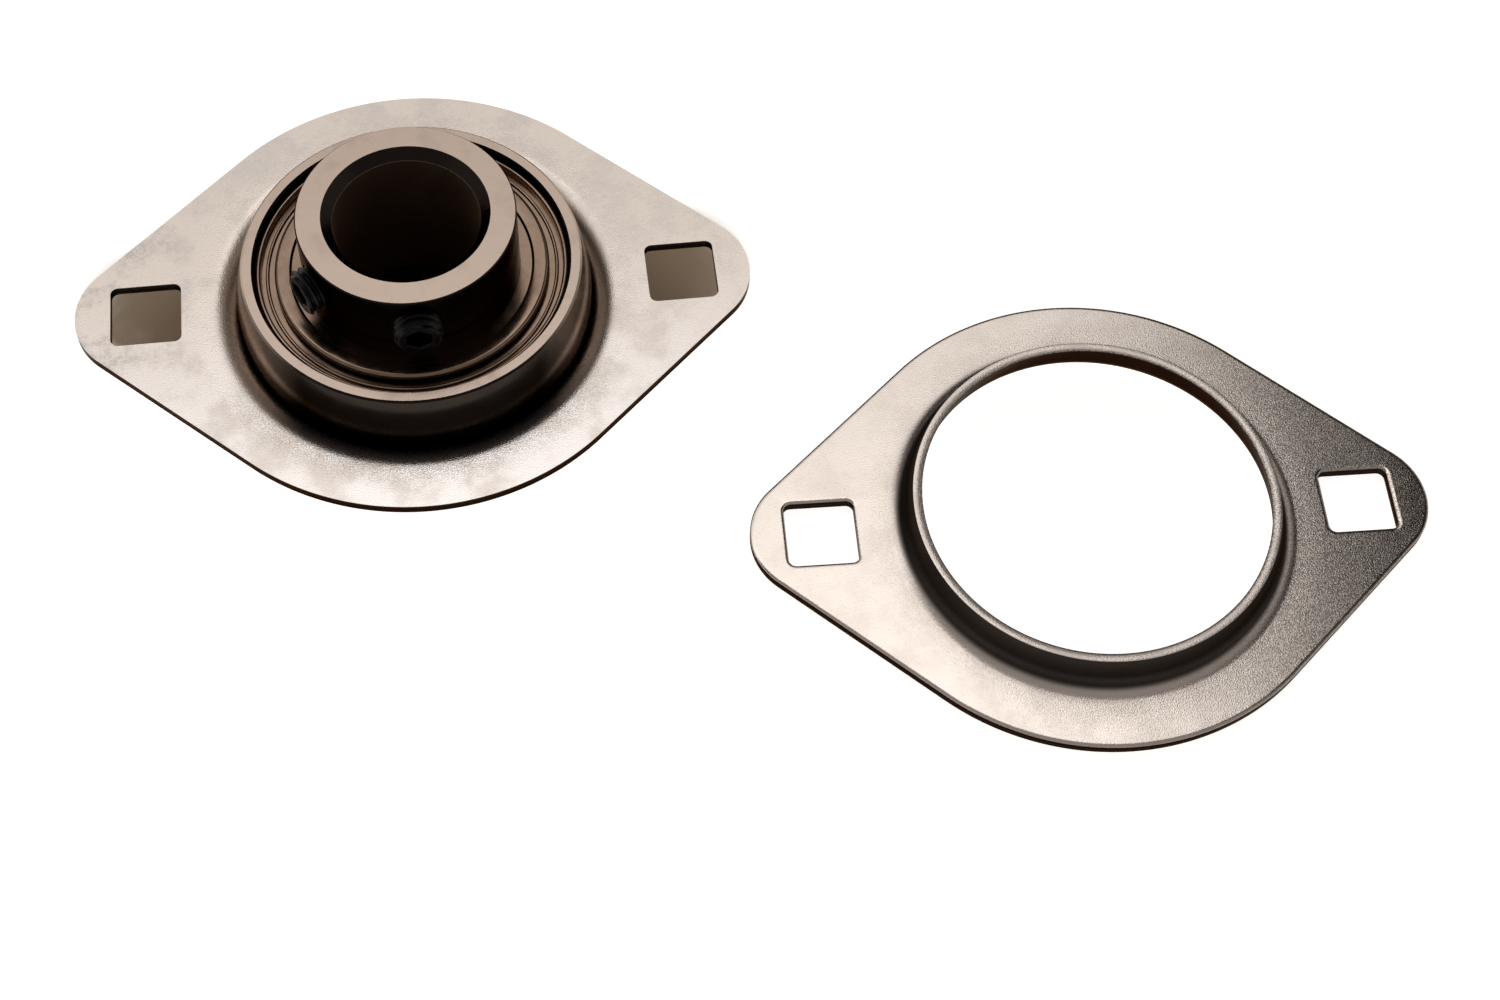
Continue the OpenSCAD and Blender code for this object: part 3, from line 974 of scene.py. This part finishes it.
@dataclass
class FlangePressing:
    """One plate of the housing, joint face up at height 0 and collar down.

    Attributes:
        middle_radius: Radius of the plate's round middle.
        hole_x: Distance from the middle to a bolt hole.
        collar_height: Height of the collar above the joint face.
        end_radius: Radius of the plate's ends.
        hole_side: Side of a bolt hole.
        hole_corner: Corner radius of a bolt hole.
        sheet: Thickness of the sheet.
        seat_radius: Radius of the spherical seat.
        collar_wall: Wall of the collar.
        lead: Radius on which the joint face turns into the seat.
        roll_width: Width of the rolled edge that the punch leaves on the collar side.
        roll_drop: Height of that rolled edge.
        burr: Break of the edge on the joint face.
        flat_start: Radius at which the flat sheet starts.
        lip: Rounding of the collar's rim outside.
        torn_width: Width of the slope that the trimming left inside the rim.
        torn_drop: Height of that slope.
        torn_break: Break at the top of that slope.
        seat_step: Angle from the lead to the seat's first point, in degrees.
        wall_step: Angle from the collar's last point to its root, in degrees.
        loose_turn: Turn of the loose plate on the table, in degrees.
    """

    middle_radius: float
    hole_x: float
    collar_height: float
    end_radius: float = 9.3
    hole_side: float = 9.25
    hole_corner: float = 1.0
    sheet: float = 1.5
    seat_radius: float = 23.56
    collar_wall: float = 1.25
    lead: float = 4.0
    roll_width: float = 0.55
    roll_drop: float = 0.2
    burr: float = 0.03
    flat_start: float = 27.8
    lip: float = 0.14
    torn_width: float = 0.6
    torn_drop: float = 0.18
    torn_break: float = 0.06
    seat_step: float = 1.0
    wall_step: float = 0.5
    loose_turn: float = -1.95

    @classmethod
    def from_frame(cls) -> "FlangePressing":
        """Takes the pressing's main sizes from the frame's plate."""
        low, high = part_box("bearing_flange")
        size = (high - low) / MM
        return cls(middle_radius=size.y / 2, hole_x=size.x / 2 - cls.end_radius,
                   collar_height=size.z)

    def outline(self, inset: float) -> list[Point]:
        """The plate's outline, moved inwards.

        Args:
            inset: Distance from the widest outline.

        Returns:
            The outline's points.
        """
        lean = math.degrees(math.acos((self.middle_radius - self.end_radius) / self.hole_x))
        end = self.end_radius - inset
        middle = self.middle_radius - inset
        return (arc((self.hole_x, 0), end, -lean, lean, 24)
                + arc((0, 0), middle, lean, 180 - lean, 64)
                + arc((-self.hole_x, 0), end, 180 - lean, 180 + lean, 24)
                + arc((0, 0), middle, 180 + lean, 360 - lean, 64))

    def hole(self, side: int, outset: float) -> list[Point]:
        """A bolt hole's outline, moved into the sheet.

        Args:
            side: -1 for the left hole and 1 for the right one.
            outset: Distance from the hole's narrowest outline.

        Returns:
            The outline's points.
        """
        radius = self.hole_corner + outset
        middle = self.hole_side / 2 - self.hole_corner
        points: list[Point] = []
        for quarter in range(4):
            turn = 90 * quarter
            x = middle if quarter in (0, 3) else -middle
            y = middle if quarter in (0, 1) else -middle
            points += arc((side * self.hole_x + x, y), radius, turn, turn + 90, 8)
        return points

    def edge_steps(self) -> list[Point]:
        """Inset and height down a punched edge: a sharp break, the cut wall and the rolled edge."""
        wall_end = self.roll_drop - self.sheet
        rolled = [(self.roll_width * (1 - across), wall_end + self.roll_drop * down)
                  for across, down in arc((0, 0), 1.0, 0, -90, 8)]
        return [(self.burr, 0.0), (0.0, -self.burr), (0.0, wall_end / 2)] + rolled

    def punched_edges(self, shape: Shape) -> tuple[list, list]:
        """Draws the outline's and the holes' walls.

        Args:
            shape: The shape that they are drawn in.

        Returns:
            The loops that bound the joint face, and those that bound the collar side.
        """
        tops, bottoms = [], []
        for draw in (self.outline,
                     lambda inset: self.hole(-1, inset),
                     lambda inset: self.hole(1, inset)):
            loops = [shape.loop(draw(inset), height) for inset, height in self.edge_steps()]
            for upper, lower in zip(loops, loops[1:]):
                shape.bridge(upper, lower)
            tops.append(loops[0])
            bottoms.append(loops[-1])
        return tops, bottoms

    def collar_section(self) -> list[Point]:
        """Section of the lead, the seat, the collar's rim and its outside."""
        lead_x = math.sqrt((self.seat_radius + self.lead) ** 2 - self.lead ** 2)
        lead_end = math.degrees(math.atan2(self.lead, lead_x))
        outer = self.seat_radius + self.collar_wall
        root = self.lead - self.sheet
        root_x = math.sqrt((outer + root) ** 2 - self.lead ** 2)
        root_end = math.degrees(math.atan2(self.lead, root_x))
        torn_top = self.collar_height - self.torn_drop
        rim_seat = math.degrees(math.asin(torn_top / self.seat_radius))
        rim_outer = math.degrees(math.asin((self.collar_height - self.lip) / outer))
        rim_low = arc((0, 0), self.seat_radius, -rim_seat, -rim_seat, 1)[0][0]
        rim_high = arc((0, 0), outer, -rim_outer, -rim_outer, 1)[0][0]
        floor = -self.collar_height + self.lip
        return ([(self.flat_start, 0.0)]
                + arc((lead_x, -self.lead), self.lead, 90, 180 - lead_end, 20)
                + arc((0, 0), self.seat_radius, -lead_end - self.seat_step, -rim_seat, 10)
                + [(rim_low + self.torn_break, -torn_top - self.torn_break),
                   (rim_low + self.torn_width, -self.collar_height)]
                + arc((rim_high - self.lip, floor), self.lip, 270, 360, 5)
                + arc((0, 0), outer, -rim_outer, -root_end - self.wall_step, 10)
                + arc((root_x, -self.lead), root, 180 - root_end, 90, 14)
                + [(self.flat_start, -self.sheet)])

    def shape(self) -> Shape:
        """Builds the pressing in its own frame."""
        shape = Shape()
        tops, bottoms = self.punched_edges(shape)
        circle = arc((0, 0), self.flat_start, 0, 360, TURN_STEPS)[:-1]
        shape.fill(tops + [shape.loop(circle, 0.0)])
        shape.fill(bottoms + [shape.loop(circle, -self.sheet)])
        shape.turn(shape.section(self.collar_section()))
        shape.close()
        shape.keep_place()
        return shape

    def build_bearing_plate(self) -> bpy.types.Object:
        """The plate that holds the bearing."""
        role = Role("flanges", "bearing_flange")
        return make_piece(self.shape(), "bearing_plate", role, Finish.BEARING_PLATE)

    def build_loose_plate(self) -> bpy.types.Object:
        """The second plate, turned over and lying on its joint face."""
        low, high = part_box("loose_flange")
        middle = (low + high) / 2 / MM
        shape = self.shape()
        place = Matrix.Translation((middle.x, middle.y, low.z / MM))
        place = place @ Matrix.Rotation(math.radians(self.loose_turn), 4, "Z")
        shape.move(place @ Matrix.Rotation(math.pi, 4, "X"))
        role = Role("flanges", "loose_flange")
        return make_piece(shape, "loose_plate", role, Finish.LOOSE_PLATE)


class Side(Enum):
    """The two sides of the bearing, with the direction of each along the bore."""

    FRONT = 1
    REAR = -1

    @property
    def word(self) -> str:
        """Name of the side in the names of pieces."""
        return self.name.lower()


@dataclass
class SealSet:
    """Seal shell and flinger at one side of the bearing.

    Attributes:
        mouth_radius: Radius of the outer ring's mouth.
        hub_radius: Radius of the inner ring, where the flinger sits.
        floor: Height of the middle of the shell's sheet above the middle plane.
        sheet: Thickness of the sheets.
        flinger_radius: Radius of the flinger.
        crimp_reach: How far the shell's crimped edge reaches into the outer ring.
        crimp_rise: Height of the crimped edge above the floor.
        crimp_bend: Radius of the bend from the crimped edge up to the rim.
        rim_inset: Distance from the mouth to the middle of the rolled rim.
        rim_width: Distance from there to the bend at the crimped edge.
        rim_rise: Height of the middle of the rolled rim.
        rim_roll: Radius of the rolled rim.
        rim_leg: Distance from its middle to the leg that goes down to the floor.
        rim_foot: Radius of the bend from that leg to the floor.
        foot_gap: Distance from the leg to the middle of that bend.
        rib_gap: Distance from the flinger to the middle of the rib.
        rib_width: Distance from there to the rib's feet.
        rib_foot: Radius of the rib's feet.
        rib_rise: Height of the middle of the rib's round top.
        rib_top: Radius of that round top.
        lip_gap: Distance from the inner ring to the shell, which the rubber lip bridges.
        hub_rise: Height of the flinger's hub above the shell's floor.
        hub_width: Width of the flinger's raised hub.
        hub_gap: Clearance between the inner ring and the flinger's middle line.
        hub_bend: Radius of the bend at the hub.
        hub_end: Distance from the middle of that bend to the hub's end.
        disc_rise: Height of the flinger's disc above its hub.
        disc_bend: Radius of the bend at the disc.
        disc_start: Distance from the hub's end to the middle of that bend.
        crown: Rise of the disc towards its edge.
        curl: Radius of the flinger's curled edge.
        curl_start: Distance from the edge where the disc starts to curl.
    """

    mouth_radius: float = 20.75
    hub_radius: float = 14.2
    floor: float = 5.039
    sheet: float = 0.3
    flinger_radius: float = 18.15
    crimp_reach: float = 0.25
    crimp_rise: float = 0.3
    crimp_bend: float = 0.15
    rim_inset: float = 0.6
    rim_width: float = 0.62
    rim_rise: float = 1.1
    rim_roll: float = 0.33
    rim_leg: float = 0.42
    rim_foot: float = 0.28
    foot_gap: float = 0.3
    rib_gap: float = 0.85
    rib_width: float = 0.55
    rib_foot: float = 0.3
    rib_rise: float = 0.38
    rib_top: float = 0.24
    lip_gap: float = 2.0
    hub_rise: float = 1.45
    hub_width: float = 1.6
    hub_gap: float = 0.02
    hub_bend: float = 0.12
    hub_end: float = 0.1
    disc_rise: float = 0.3
    disc_bend: float = 0.14
    disc_start: float = 0.28
    crown: float = 0.08
    curl: float = 0.6
    curl_start: float = 1.3

    def shell_path(self) -> list[Point]:
        """Middle line of the shell's sheet: crimped edge, rolled rim, rib and floor."""
        floor = self.floor
        crimp = floor + self.crimp_rise
        rim = self.mouth_radius - self.rim_inset
        rim_out = rim + self.rim_width
        leg = rim - self.rim_leg
        leg_end = floor + self.rim_foot
        rib = self.flinger_radius + self.rib_gap
        foot = floor + self.rib_foot
        return ([(self.mouth_radius + self.crimp_reach, crimp), (rim_out, crimp)]
                + arc((rim_out, crimp + self.crimp_bend), self.crimp_bend, 270, 190, 3)
                + arc((rim, floor + self.rim_rise), self.rim_roll, 0, 180, 10)
                + [(leg, leg_end)]
                + arc((leg - self.foot_gap, leg_end), self.rim_foot, 0, -90, 4)
                + arc((rib + self.rib_width, foot), self.rib_foot, 270, 200, 4)
                + arc((rib, floor + self.rib_rise), self.rib_top, 20, 160, 6)
                + arc((rib - self.rib_width, foot), self.rib_foot, -20, -90, 4)
                + [(self.hub_radius + self.lip_gap, floor)])

    def flinger_path(self) -> list[Point]:
        """Middle line of the flinger's sheet: hub, step, disc and curled edge."""
        hub = self.floor - self.sheet / 2 + self.hub_rise
        hub_end = self.hub_radius + self.hub_width
        disc = hub + self.disc_rise
        disc_start = hub_end + self.disc_start
        crown = disc + self.crown
        edge = self.flinger_radius - self.sheet / 2
        return ([(self.hub_radius + self.hub_gap, hub)]
                + arc((hub_end - self.hub_end, hub + self.hub_bend), self.hub_bend, 270, 330, 3)
                + arc((disc_start, disc - self.disc_bend), self.disc_bend, 140, 90, 3)
                + [(edge - self.curl_start, crown)]
                + arc((edge - self.curl, crown - self.curl), self.curl, 88, 0, 10))

    def build(self, side: Side) -> None:
        """Builds the shell and the flinger of one side.

        Args:
            side: Front or rear of the bearing.
        """
        for kind, path, body in (("seal_shell", self.shell_path(), "outer_race"),
                                 ("flinger", self.flinger_path(), "inner_race")):
            shape = Shape()
            shape.turn(shape.section(path))
            shape.thicken(self.sheet)
            shape.move(Matrix.Diagonal((1, 1, side.value, 1)))
            shape.close()
            node = f"{side.word}_{kind}"
            make_piece(shape, f"{node}_sheet", Role(body, node), Finish.SEAL)


@dataclass
class SetScrew:
    """Socket set screw with a cut thread, along a radius of the inner ring.

    Attributes:
        diameter: Outside diameter of the thread.
        length: Length of the screw.
        pitch: Pitch of the thread.
        depth: Depth of the thread.
        chamfer: Height of the chamfer at each end.
        flats: Width across the flats of the socket.
        socket_depth: Depth of the socket.
        tip: Distance from the bore axis to the tip.
        height: Height of the screw's axis.
        crest_drop: Rounding of the thread's crest.
        point_drop: How far both chamfers end inside the thread's root.
        socket_break: Widening of the socket's mouth, as a share.
        socket_lead: Height of that mouth.
        cup_radius: Radius of the cup point's rim, as a share of the diameter.
        cup_flat: Radius of its flat floor.
        cup_depth: Depth of the cup point.
        steps: Pieces in one turn of the thread.
    """

    diameter: float = 6.35
    length: float = 6.35
    pitch: float = 0.907
    depth: float = 0.5
    chamfer: float = 0.55
    flats: float = 3.175
    socket_depth: float = 2.8
    tip: float = 9.925
    height: float = 12.3
    crest_drop: float = 0.04
    point_drop: float = 0.1
    socket_break: float = 1.12
    socket_lead: float = 0.2
    cup_radius: float = 0.25
    cup_flat: float = 0.25
    cup_depth: float = 0.7
    steps: int = 40

    def thread(self, shape: Shape) -> None:
        """Sweeps one tooth of the thread up the screw and trims both ends.

        Args:
            shape: The shape that it is built in.
        """
        outer = self.diameter / 2
        root = outer - self.depth
        crest = outer - self.crest_drop
        tooth = [(root, 0.0), (root, 0.12), (crest, 0.43), (outer, 0.5), (crest, 0.57),
                 (root, 0.88), (root, 1.0)]
        turns = math.ceil(self.length / self.pitch) + 2
        edges = shape.section([(radius, (share - 1) * self.pitch) for radius, share in tooth])
        bmesh.ops.spin(shape.bm, geom=edge_corners(edges) + edges, cent=(0, 0, 0), axis=(0, 0, 1),
                       dvec=(0, 0, self.pitch / self.steps), angle=math.tau * turns,
                       steps=self.steps * turns, use_merge=False, use_duplicate=False)
        bmesh.ops.remove_doubles(shape.bm, verts=shape.bm.verts, dist=10 * MERGE_DISTANCE)
        for height, outside in ((0.0, -1), (self.length, 1)):
            whole = shape.bm.verts[:] + shape.bm.edges[:] + shape.bm.faces[:]
            bmesh.ops.bisect_plane(shape.bm, geom=whole, plane_co=(0, 0, height),
                                   plane_no=(0, 0, outside), clear_outer=True)

    def chamfered(self, shape: Shape) -> None:
        """Draws in the thread's crests near both ends."""
        end = self.diameter / 2 - self.depth - self.point_drop
        slope = (self.diameter / 2 - end) / self.chamfer
        for corner in shape.bm.verts:
            near = min(corner.co.z, self.length - corner.co.z)
            allowed = end + slope * near
            reach = corner.co.xy.length
            if reach > allowed:
                corner.co.xy *= allowed / reach

    def ends(self, shape: Shape) -> None:
        """Closes the cup point and the face with its hexagon socket."""
        rims = {True: [], False: []}
        for edge in shape.bm.edges:
            if edge.is_boundary:
                rims[edge.verts[0].co.z > self.length / 2].append(edge)
        corner_radius = self.flats / 2 / math.cos(math.pi / 6)
        hexagon = arc((0, 0), corner_radius, 0, 360, 6)[:-1]
        mouth = arc((0, 0), corner_radius * self.socket_break, 0, 360, 6)[:-1]
        levels = [shape.loop(mouth, self.length),
                  shape.loop(hexagon, self.length - self.socket_lead),
                  shape.loop(hexagon, self.length - self.socket_depth)]
        shape.bridge(rims[True], levels[0])
        shape.bridge(levels[0], levels[1])
        shape.bridge(levels[1], levels[2])
        bmesh.ops.edgeloop_fill(shape.bm, edges=levels[2])
        rim = arc((0, 0), self.diameter * self.cup_radius, 0, 360, 32)[:-1]
        flat = arc((0, 0), self.cup_flat, 0, 360, 32)[:-1]
        cup_rim = shape.loop(rim, 0.0)
        cup_floor = shape.loop(flat, self.cup_depth)
        shape.bridge(rims[False], cup_rim)
        shape.bridge(cup_rim, cup_floor)
        bmesh.ops.edgeloop_fill(shape.bm, edges=cup_floor)

    def build(self, name: str, turn: float) -> None:
        """Builds a screw in its place.

        Args:
            name: Name of the screw's node and body.
            turn: Direction of the screw, in degrees from +X.
        """
        shape = Shape()
        self.thread(shape)
        self.chamfered(shape)
        self.ends(shape)
        shape.close()
        place = Matrix.Rotation(math.radians(turn), 4, "Z")
        place = place @ Matrix.Translation((self.tip, 0, self.height))
        shape.move(place @ Matrix.Rotation(math.radians(90), 4, "Y"))
        make_piece(shape, f"{name}_threaded", Role(name, name), Finish.SCREW)


@dataclass
class FrameFinishes:
    """Finishes of the frame's own nodes, which keep their shape.

    Attributes:
        groups: Each finish with the start of its nodes' names.
    """

    groups: dict[Finish, tuple[str, ...]] = field(default_factory=lambda: {
        Finish.RING: ("outer_ring", "inner_ring"),
        Finish.BALL: ("ball_",),
        Finish.CAGE: ("cage_",),
        Finish.RUBBER: ("front_seal_lip", "rear_seal_lip"),
    })

    def dress(self, nodes: dict[str, bpy.types.Object]) -> None:
        """Gives each node its finish.

        Args:
            nodes: The frame's nodes by name.
        """
        for finish, starts in self.groups.items():
            for name, node in nodes.items():
                if name.startswith(starts):
                    node.data.materials.clear()
                    node.data.materials.append(finish.material())
                    finish.slot
                    LOG.info("%s: finish %s", name, finish.name)


class Shows(Enum):
    """Surfaces that a lamp lights."""

    METAL = "reflections in metal"
    PLAIN = "plain surfaces"


@dataclass(frozen=True)
class Softbox:
    """A large soft lamp.

    Attributes:
        name: Name of the lamp.
        across: Left and right end, in metres from the object's middle.
        along: Front and back end, in metres.
        height: Height over the table, in metres.
        radiance: Brightness of the lamp's face, where 1 is white.
        shows: Which surfaces it lights.
        colour: Tint of the light.
    """

    name: str
    across: Span
    along: Span
    height: float
    radiance: float
    shows: Shows
    colour: Colour = (1.0, 0.97, 0.94)

    def build(self, target: Vector) -> None:
        """Hangs the lamp over the object.

        Args:
            target: The point that it faces, in metres.
        """
        lamp = bpy.data.lights.new(self.name, "AREA")
        lamp.shape = "RECTANGLE"
        lamp.size = self.across[1] - self.across[0]
        lamp.size_y = self.along[1] - self.along[0]
        lamp.color = self.colour
        lamp.energy = self.radiance * math.pi * lamp.size * lamp.size_y
        holder = bpy.data.objects.new(self.name, lamp)
        holder.location = target + Vector((sum(self.across) / 2, sum(self.along) / 2, self.height))
        holder.visible_camera = False
        holder.visible_glossy = self.shows is Shows.METAL
        holder.visible_diffuse = self.shows is Shows.PLAIN
        bpy.context.scene.collection.objects.link(holder)


@dataclass
class Camera:
    """The camera that took the photograph.

    Attributes:
        lens: Focal length, in millimetres on a 36 mm frame.
        azimuth: Direction round the object, in degrees.
        elevation: Height above the horizon, in degrees.
        roll: Turn of the picture, in degrees.
        distance: Distance from the target, in millimetres.
    """

    lens: float = 61.69
    azimuth: float = -10.40
    elevation: float = 59.26
    roll: float = 3.78
    distance: float = 337.97

    def build(self, target: Vector) -> None:
        """Points the camera at the target.

        Args:
            target: The point that it faces, in metres.
        """
        around, up = math.radians(self.azimuth), math.radians(self.elevation)
        level = math.cos(up)
        back = Vector((math.sin(around) * level, -math.cos(around) * level, math.sin(up)))
        right = (-back).cross(Vector((0, 0, 1))).normalized()
        top = right.cross(-back)
        turn = math.radians(self.roll)
        rolled_right = right * math.cos(turn) + top * math.sin(turn)
        rolled_top = top * math.cos(turn) - right * math.sin(turn)
        camera = bpy.data.cameras.new("camera")
        camera.lens = self.lens
        camera.sensor_width = 36.0
        camera.clip_start = 0.01
        camera.clip_end = 20.0
        holder = bpy.data.objects.new("camera", camera)
        basis = Matrix((rolled_right, rolled_top, back)).transposed().to_4x4()
        holder.matrix_world = Matrix.Translation(target + back * self.distance * MM) @ basis
        bpy.context.scene.collection.objects.link(holder)
        bpy.context.scene.camera = holder


@dataclass
class PaperFloor:
    """Wide round floor that glows white and keeps the shade of the bearing's plate.

    Attributes:
        radius: Radius of the floor, in millimetres.
        steps: Number of straight pieces round it.
        colour: Colour of the paper.
        glow: Brightness that the paper has by itself, which lifts it to white.
        cover_reach: Distance in which a piece above takes the glow away, in millimetres.
        cover_edge: Open share of the sky where the glow starts to go, and where it is gone.
        shade: Colour of the floor under the plate's ends, round the bolt holes.
        shade_place: Middle of that shade in X and Y, on both sides, in millimetres.
        shade_ends: Radius where the shade starts, and where it is full, in millimetres.
        dark: Near-black colour painted on the floor under the bearing, as its shade.
        under_shade_ends: Radius where the dark starts, and where it is full, in millimetres.
    """

    radius: float = 8000.0
    steps: int = 96
    colour: Colour = (0.97, 0.90, 0.80)
    glow: float = 0.86
    cover_reach: float = 60.0
    cover_edge: Span = (0.92, 0.62)
    shade: Colour = (0.46, 0.375, 0.28)
    shade_place: Point = (36.0, 7.0)
    shade_ends: Span = (12.0, 7.0)
    dark: Colour = (0.012, 0.009, 0.007)
    under_shade_ends: Span = (30.0, 26.0)

    def material(self) -> bpy.types.Material:
        """Builds the paper."""
        graph = MaterialGraph("paper_floor")
        place = graph.coordinates("Object")
        across, along, _ = graph.split(place)
        aside = graph.maths("SUBTRACT", graph.maths("ABSOLUTE", across), self.shade_place[0] * MM)
        behind = graph.maths("SUBTRACT", along, self.shade_place[1] * MM)
        shaded = graph.reach(graph.radius(graph.join(aside, behind, 0.0)), *self.shade_ends)
        # Painted shade: the floor under the bearing turns near-black.
        under = graph.reach(graph.radius(place), *self.under_shade_ends)
        colour = graph.mix(shaded, self.colour, self.shade)
        colour = graph.mix(under, colour, self.dark)
        cover = graph.tree.nodes.new("ShaderNodeAmbientOcclusion")
        cover.inputs["Distance"].default_value = self.cover_reach * MM
        covered = graph.maths("MULTIPLY", graph.remap(cover.outputs["AO"], *self.cover_edge),
                              graph.maths("MAXIMUM", shaded, under))
        path = graph.tree.nodes.new("ShaderNodeLightPath").outputs
        seen = graph.maths("MAXIMUM", path["Is Camera Ray"], path["Is Glossy Ray"],
                           path["Is Transmission Ray"])
        glow = graph.maths("MULTIPLY", seen, graph.maths("SUBTRACT", 1.0, covered), self.glow)
        graph.surface(Base_Color=colour, Roughness=1.0, Specular_IOR_Level=0.0,
                      Emission_Color=(1.0, 1.0, 1.0), Emission_Strength=glow)
        return graph.material

    def build(self, height: float) -> None:
        """Lays the floor.

        Args:
            height: Height of the floor, in metres.
        """
        shape = Shape()
        shape.turn(shape.section([(0.0, 0.0), (self.radius, 0.0)]), self.steps)
        shape.close()
        floor = make_object(shape, "floor", self.material())
        floor.location.z = height
        floor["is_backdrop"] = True


@dataclass
class Room:
    """Surroundings that the metal mirrors: pale round the sides and in front, dark behind.

    Attributes:
        dark: Colour of the dark part, behind the object and between the lamps.
        glow: Colour of the pale part.
        front_share: Share of the pale colour in front and overhead.
        back_edge: Forward direction where the dark part starts, and where it is full.
        top_edge: Upward direction where the dark part ends, and where it is full.
        side_edge: Sideways direction where the pale sides start, and where they are full.
        side_top: Upward direction where the pale sides end, and where they are full.
    """

    dark: Colour = (0.012, 0.009, 0.007)
    glow: Colour = (0.41, 0.38, 0.36)
    front_share: float = 0.6
    back_edge: Span = (0.0, 0.2)
    top_edge: Span = (0.96, 0.88)
    side_edge: Span = (0.40, 0.85)
    side_top: Span = (0.80, 0.40)

    def build(self) -> None:
        """Sets the world and the plain picture settings."""
        world = bpy.data.worlds.new("room")
        world.use_nodes = True
        graph = Graph(world.node_tree)
        across, along, up = graph.split(graph.coordinates("Generated"))
        behind = graph.maths("MULTIPLY", graph.remap(along, *self.back_edge),
                             graph.remap(up, *self.top_edge))
        beside = graph.maths("MULTIPLY", graph.remap(up, *self.side_top),
                             graph.remap(graph.maths("ABSOLUTE", across), *self.side_edge))
        share = graph.maths("MAXIMUM", beside, graph.remap(behind, 0.0, 1.0, self.front_share, 0.0))
        background = graph.tree.nodes["Background"]
        graph.feed(background.inputs["Color"], graph.mix(share, self.dark, self.glow))
        bpy.context.scene.world = world
        bpy.context.scene.view_settings.view_transform = "Standard"


@dataclass
class Studio:
    """Camera, lamps, floor and surroundings.

    Attributes:
        target: Point on the table that the camera and the lamps face, in millimetres.
        lamps: The soft lamps.
    """

    target: Point = (41.26, -32.33)
    lamps: tuple[Softbox, ...] = (
        Softbox("top_panel", across=(-1.10, 0.38), along=(0.30, 0.57), height=1.0,
                radiance=1.25, shows=Shows.METAL),
        Softbox("middle_panel", across=(-1.00, 0.40), along=(0.57, 0.68), height=1.0,
                radiance=0.98, shows=Shows.METAL),
        Softbox("back_panel", across=(-0.95, 0.42), along=(0.68, 1.20), height=1.0,
                radiance=0.74, shows=Shows.METAL),
        Softbox("back_fill", across=(-1.20, 1.20), along=(0.80, 2.00), height=1.1,
                radiance=1.5, shows=Shows.PLAIN, colour=(1.0, 0.96, 0.90)),
    )

    def build(self) -> None:
        """Builds everything round the object, on the height of its lowest point."""
        low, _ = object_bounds()
        aim = Vector((self.target[0] * MM, self.target[1] * MM, low.z))
        PaperFloor().build(low.z)
        Camera().build(aim)
        Room().build()
        for lamp in self.lamps:
            lamp.build(aim)


def corners(box: tuple[Vector, Vector]) -> list[list[float]]:
    """A box's two corners as plain lists."""
    return [list(corner) for corner in box]


def main() -> None:
    """Builds the bearing's looks round the frame."""
    logging.basicConfig(level=logging.INFO, format="%(message)s")
    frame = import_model()
    cad_box = corners(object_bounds())
    Studio().build()
    pressing = FlangePressing.from_frame()
    pressing.build_bearing_plate()
    pressing.build_loose_plate()
    for side in Side:
        SealSet().build(side)
    for name, turn in SCREW_TURNS.items():
        SetScrew().build(name, turn)
    FrameFinishes().dress(frame["nodes"])
    {"cad": cad_box, "visual": corners(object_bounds())}


if __name__ == "__main__":
    main()
